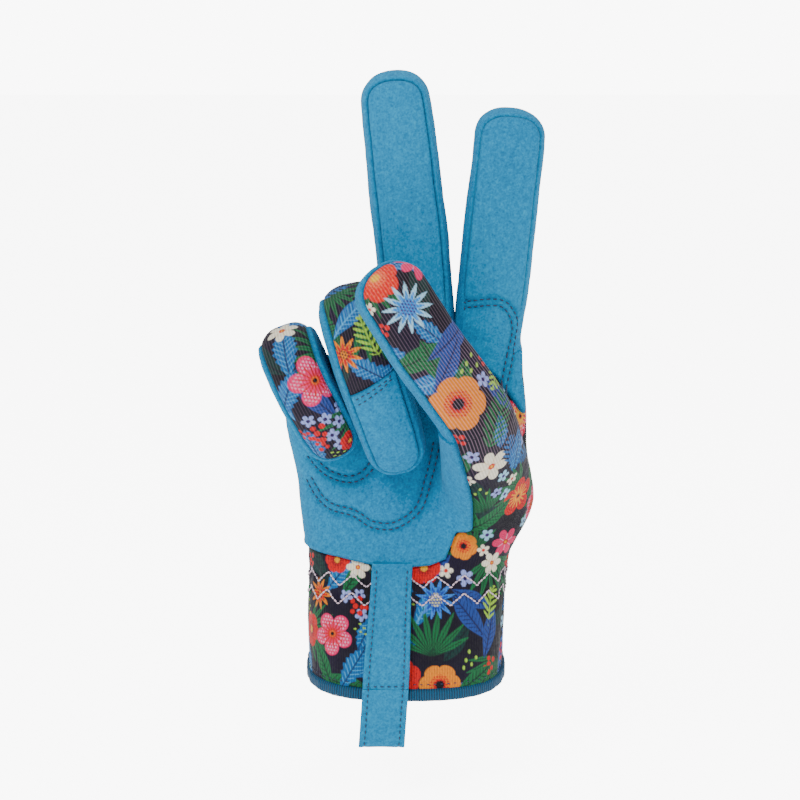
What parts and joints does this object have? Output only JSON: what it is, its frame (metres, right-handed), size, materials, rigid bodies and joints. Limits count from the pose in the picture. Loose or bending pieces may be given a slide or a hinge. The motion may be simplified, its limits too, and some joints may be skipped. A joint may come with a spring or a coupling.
{
  "type": "gardening glove",
  "caption": "Right-hand gardening glove shaped in a V sign, with a suede palm, flower-printed stretch back, bound cuff and pull tab.",
  "frame": {"origin": "centre of the wrist opening at the height of the cuff's side edges", "axes": "+Z from the wrist to the fingertips, -Y the palm side, +X the thumb side"},
  "size_m": [0.1062, 0.096, 0.253],
  "materials": {
    "suede": "blue synthetic suede with a short nap, matt",
    "print": "dark navy ribbed stretch knit printed all over with bright flowers and leaves",
    "hem_tape": "ribbed woven binding tape, teal blue",
    "foam": "thin open-cell padding, hidden under the suede",
    "lining": "thin knitted lining",
    "elastic": "flat white elastic"
  },
  "bodies": {
    "hand": {"palm_panel": "suede", "back_panel": "print", "thumb_root_back": "print", "thumb_root_palm": "suede", "palm_pad_foam": "foam", "little_finger_pad_foam": "foam", "index_pad_foam": "foam", "palm_lining": "lining", "cuff_front": "print", "cuff_back": "print", "hem_binding": "hem_tape", "wrist_elastic_upper": "elastic", "wrist_elastic_lower": "elastic", "pull_tab_strip": "suede"},
    "index_lower": {"index_lower_front": "suede", "index_lower_back": "print", "index_lower_right_side": "suede", "index_lower_left_side": "suede"},
    "index_upper": {"index_upper_front": "suede", "index_upper_back": "print", "index_upper_right_side": "suede", "index_upper_left_side": "suede", "index_tip_cap": "suede"},
    "middle_lower": {"middle_lower_front": "suede", "middle_lower_back": "print", "middle_lower_right_side": "suede", "middle_lower_left_side": "suede"},
    "middle_upper": {"middle_upper_front": "suede", "middle_upper_back": "print", "middle_upper_right_side": "suede", "middle_upper_left_side": "suede", "middle_tip_cap": "suede"},
    "ring_lower": {"ring_lower_front": "suede", "ring_lower_back": "print", "ring_lower_right_side": "suede", "ring_lower_left_side": "suede"},
    "ring_upper": {"ring_upper_front": "suede", "ring_upper_back": "print", "ring_upper_right_side": "suede", "ring_upper_left_side": "suede", "ring_tip_cap": "suede"},
    "pinky_lower": {"pinky_lower_front": "suede", "pinky_lower_back": "print", "pinky_lower_right_side": "suede", "pinky_lower_left_side": "suede"},
    "pinky_upper": {"pinky_upper_front": "suede", "pinky_upper_back": "print", "pinky_upper_right_side": "suede", "pinky_upper_left_side": "suede"},
    "thumb_lower": {"thumb_lower_back": "print", "thumb_lower_front": "suede"},
    "thumb_upper": {"thumb_upper_back": "print", "thumb_upper_front": "suede"},
    "tab_loop": {"pull_tab_loop": "suede"}
  },
  "joints": [
    {"name": "index_knuckle", "type": "hinge", "parent": "hand", "child": "index_lower", "pos_m": [0.0291, -0.0024, 0.12466], "axis": [0.9874, 0, 0.158], "range_deg": [-8, 50]},
    {"name": "index_bend", "type": "hinge", "parent": "index_lower", "child": "index_upper", "pos_m": [0.0333, -0.0034, 0.16696], "axis": [0.9951, 0, -0.0988], "range_deg": [0, 80]},
    {"name": "middle_knuckle", "type": "hinge", "parent": "hand", "child": "middle_lower", "pos_m": [0.0051, -0.0027, 0.12082], "axis": [0.9874, 0, 0.158], "range_deg": [-8, 15]},
    {"name": "middle_bend", "type": "hinge", "parent": "middle_lower", "child": "middle_upper", "pos_m": [0.0001, -0.0027, 0.17102], "axis": [0.9951, 0, 0.0991], "range_deg": [0, 55]},
    {"name": "ring_knuckle", "type": "hinge", "parent": "hand", "child": "ring_lower", "pos_m": [-0.018, 0.001, 0.11712], "axis": [0.9874, 0, 0.158], "range_deg": [-18, 0]},
    {"name": "ring_bend", "type": "hinge", "parent": "ring_lower", "child": "ring_upper", "pos_m": [-0.018, -0.027, 0.13402], "axis": [0.9627, 0, 0.2707], "range_deg": [-26, 0]},
    {"name": "pinky_knuckle", "type": "hinge", "parent": "hand", "child": "pinky_lower", "pos_m": [-0.0384, 0.001, 0.11386], "axis": [0.9874, 0, 0.158], "range_deg": [-10, 0]},
    {"name": "pinky_bend", "type": "hinge", "parent": "pinky_lower", "child": "pinky_upper", "pos_m": [-0.041, -0.024, 0.12046], "axis": [0.927, 0, 0.375], "range_deg": [-35, 0]},
    {"name": "thumb_lift", "type": "hinge", "parent": "hand", "child": "thumb_lower", "pos_m": [0.02486, -0.04886, 0.10929], "axis": [-0.7465, -0.2841, -0.6017], "range_deg": [-35, 0]},
    {"name": "thumb_bend", "type": "hinge", "parent": "thumb_lower", "child": "thumb_upper", "pos_m": [0.00536, -0.05586, 0.13679], "axis": [-0.7465, -0.2841, -0.6017], "range_deg": [-20, 3]},
    {"name": "tab_swing", "type": "hinge", "parent": "hand", "child": "tab_loop", "pos_m": [-0.0088, -0.03505, 0.0015], "axis": [-1, 0, 0], "range_deg": [0, 70]}
  ]
}
